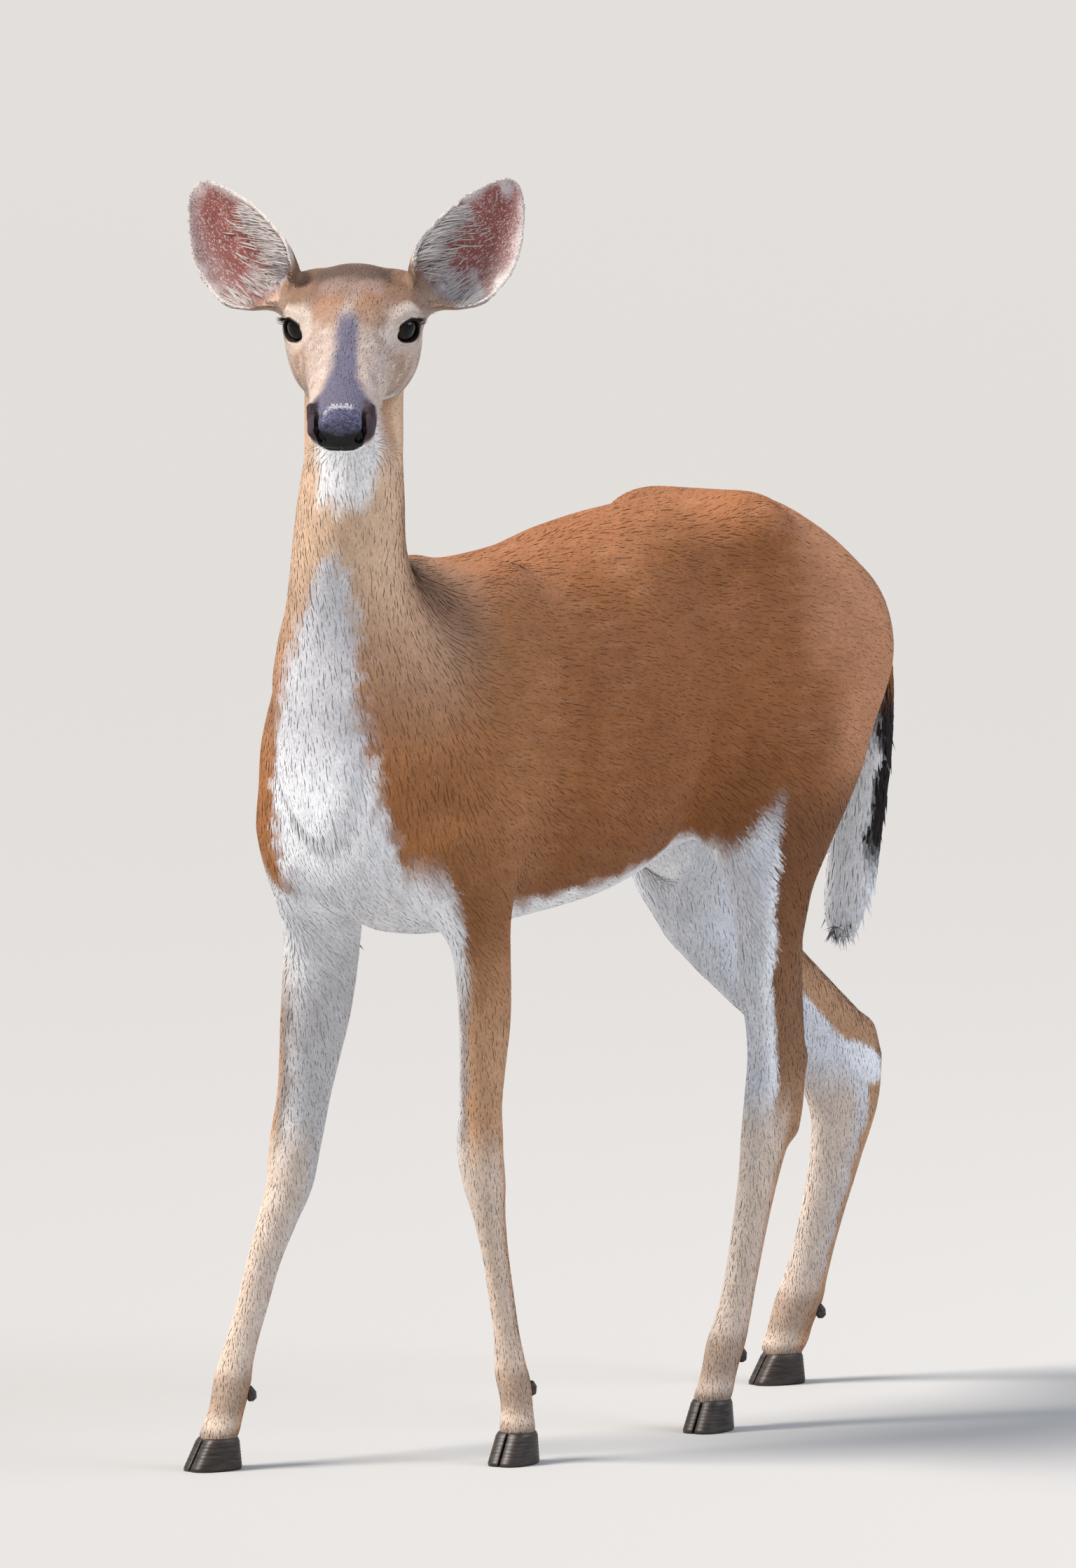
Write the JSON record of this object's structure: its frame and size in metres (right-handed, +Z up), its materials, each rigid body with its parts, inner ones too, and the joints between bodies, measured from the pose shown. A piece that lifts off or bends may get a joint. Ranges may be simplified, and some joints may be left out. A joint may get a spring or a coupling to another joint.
{
  "type": "white-tailed deer",
  "caption": "Life-size still model of a standing white-tailed doe in red-brown summer coat, head turned to look aside, ears spread, tail hanging.",
  "frame": {"origin": "on the floor, under the middle of the whole animal's box", "axes": "+X the way the body heads (rump to chest), +Y the deer's left, +Z up; the head is turned about 36 degrees to the left and tipped 32 degrees down"},
  "size_m": [1.0804, 0.3384, 1.2224],
  "materials": {
    "red_coat": "short glossy summer hair, lying flat",
    "tan_coat": "short hair, tan outside and white inside and in front",
    "white_hair": "long soft hair, white below and dark brown above",
    "ear_hair": "thin hair over pink-brown skin, white tufts",
    "nose": "moist black pad",
    "eye": "wet, very dark brown",
    "hoof_horn": "smooth black horn"
  },
  "bodies": {
    "root": {"ear_left": "ear_hair", "ear_right": "ear_hair", "eye_left": "eye", "eye_right": "eye", "foreleg_left_cannon": "tan_coat", "foreleg_left_dewclaw_left": "hoof_horn", "foreleg_left_dewclaw_right": "hoof_horn", "foreleg_left_foot": "tan_coat", "foreleg_left_hoof_left": "hoof_horn", "foreleg_left_hoof_right": "hoof_horn", "foreleg_left_upper": "red_coat", "foreleg_right_cannon": "tan_coat", "foreleg_right_dewclaw_left": "hoof_horn", "foreleg_right_dewclaw_right": "hoof_horn", "foreleg_right_foot": "tan_coat", "foreleg_right_hoof_left": "hoof_horn", "foreleg_right_hoof_right": "hoof_horn", "foreleg_right_upper": "red_coat", "head": "tan_coat", "hindleg_left_cannon": "tan_coat", "hindleg_left_dewclaw_left": "hoof_horn", "hindleg_left_dewclaw_right": "hoof_horn", "hindleg_left_foot": "tan_coat", "hindleg_left_hoof_left": "hoof_horn", "hindleg_left_hoof_right": "hoof_horn", "hindleg_left_upper": "red_coat", "hindleg_right_cannon": "tan_coat", "hindleg_right_dewclaw_left": "hoof_horn", "hindleg_right_dewclaw_right": "hoof_horn", "hindleg_right_foot": "tan_coat", "hindleg_right_hoof_left": "hoof_horn", "hindleg_right_hoof_right": "hoof_horn", "hindleg_right_upper": "red_coat", "neck": "tan_coat", "nose_pad": "nose", "tail": "white_hair", "trunk": "red_coat"}
  },
  "joints": []
}
